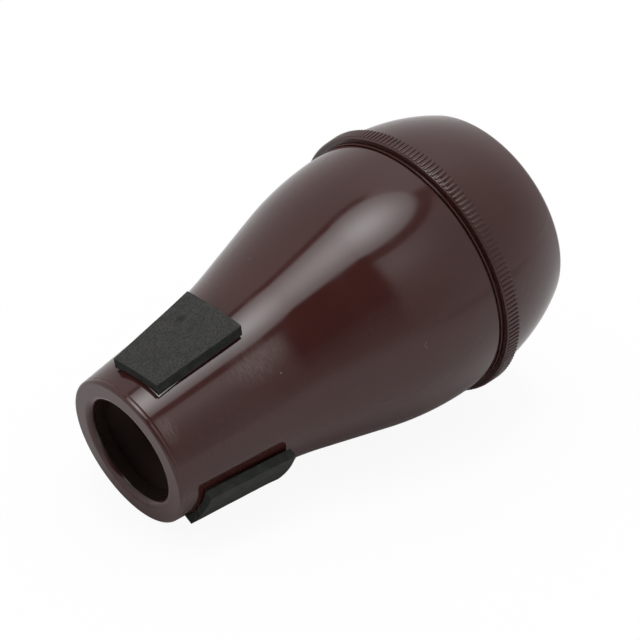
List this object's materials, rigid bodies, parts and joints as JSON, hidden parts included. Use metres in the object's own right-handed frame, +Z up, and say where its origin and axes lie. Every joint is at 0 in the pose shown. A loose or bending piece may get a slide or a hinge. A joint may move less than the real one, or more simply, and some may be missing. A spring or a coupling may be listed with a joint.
{
  "type": "trumpet straight mute",
  "caption": "Straight mute for a trumpet: hollow tapered shell open at its narrow mouth, foam pads round the neck, and a screw-on end cap with a finely ribbed grip.",
  "frame": {"origin": "middle of the bounding box at its lowest level, which is the table in the picture", "axes": "+X towards the end cap, the mute's own axis rising by 11.33 degrees from +X towards +Z because it lies on its lip and its belly; +Z up; the mute is alike on both sides of the XZ plane but for its thread"},
  "size_m": [0.1412, 0.0824, 0.0821],
  "materials": {
    "maroon_plastic": "polished dark maroon-brown moulded plastic",
    "black_rubber": "smooth black rubber",
    "grey_foam": "matt dark grey closed-cell foam",
    "white_film": "thin white adhesive film"
  },
  "bodies": {
    "body": {"shell": "maroon_plastic", "foam_pad_top": "grey_foam", "foam_pad_near": "grey_foam", "foam_pad_far": "grey_foam", "adhesive_film_top": "white_film", "adhesive_film_near": "white_film", "adhesive_film_far": "white_film"},
    "seal": {"cap_gasket": "black_rubber"},
    "cap": {"end_cap": "maroon_plastic"}
  },
  "joints": [
    {"name": "cap_travel", "type": "slide", "parent": "body", "child": "seal", "axis": [0.9805, 0, 0.1964], "range_m": [0, 0.00801]},
    {"name": "cap_turn", "type": "hinge", "parent": "seal", "child": "cap", "pos_m": [0.03462, 0, 0.04123], "axis": [0.9805, 0, 0.1964], "range_deg": [0, 720]}
  ],
  "couplings": [
    {"joint": "cap_travel", "follows": "cap_turn", "m_per_rad": 0.00063662}
  ]
}
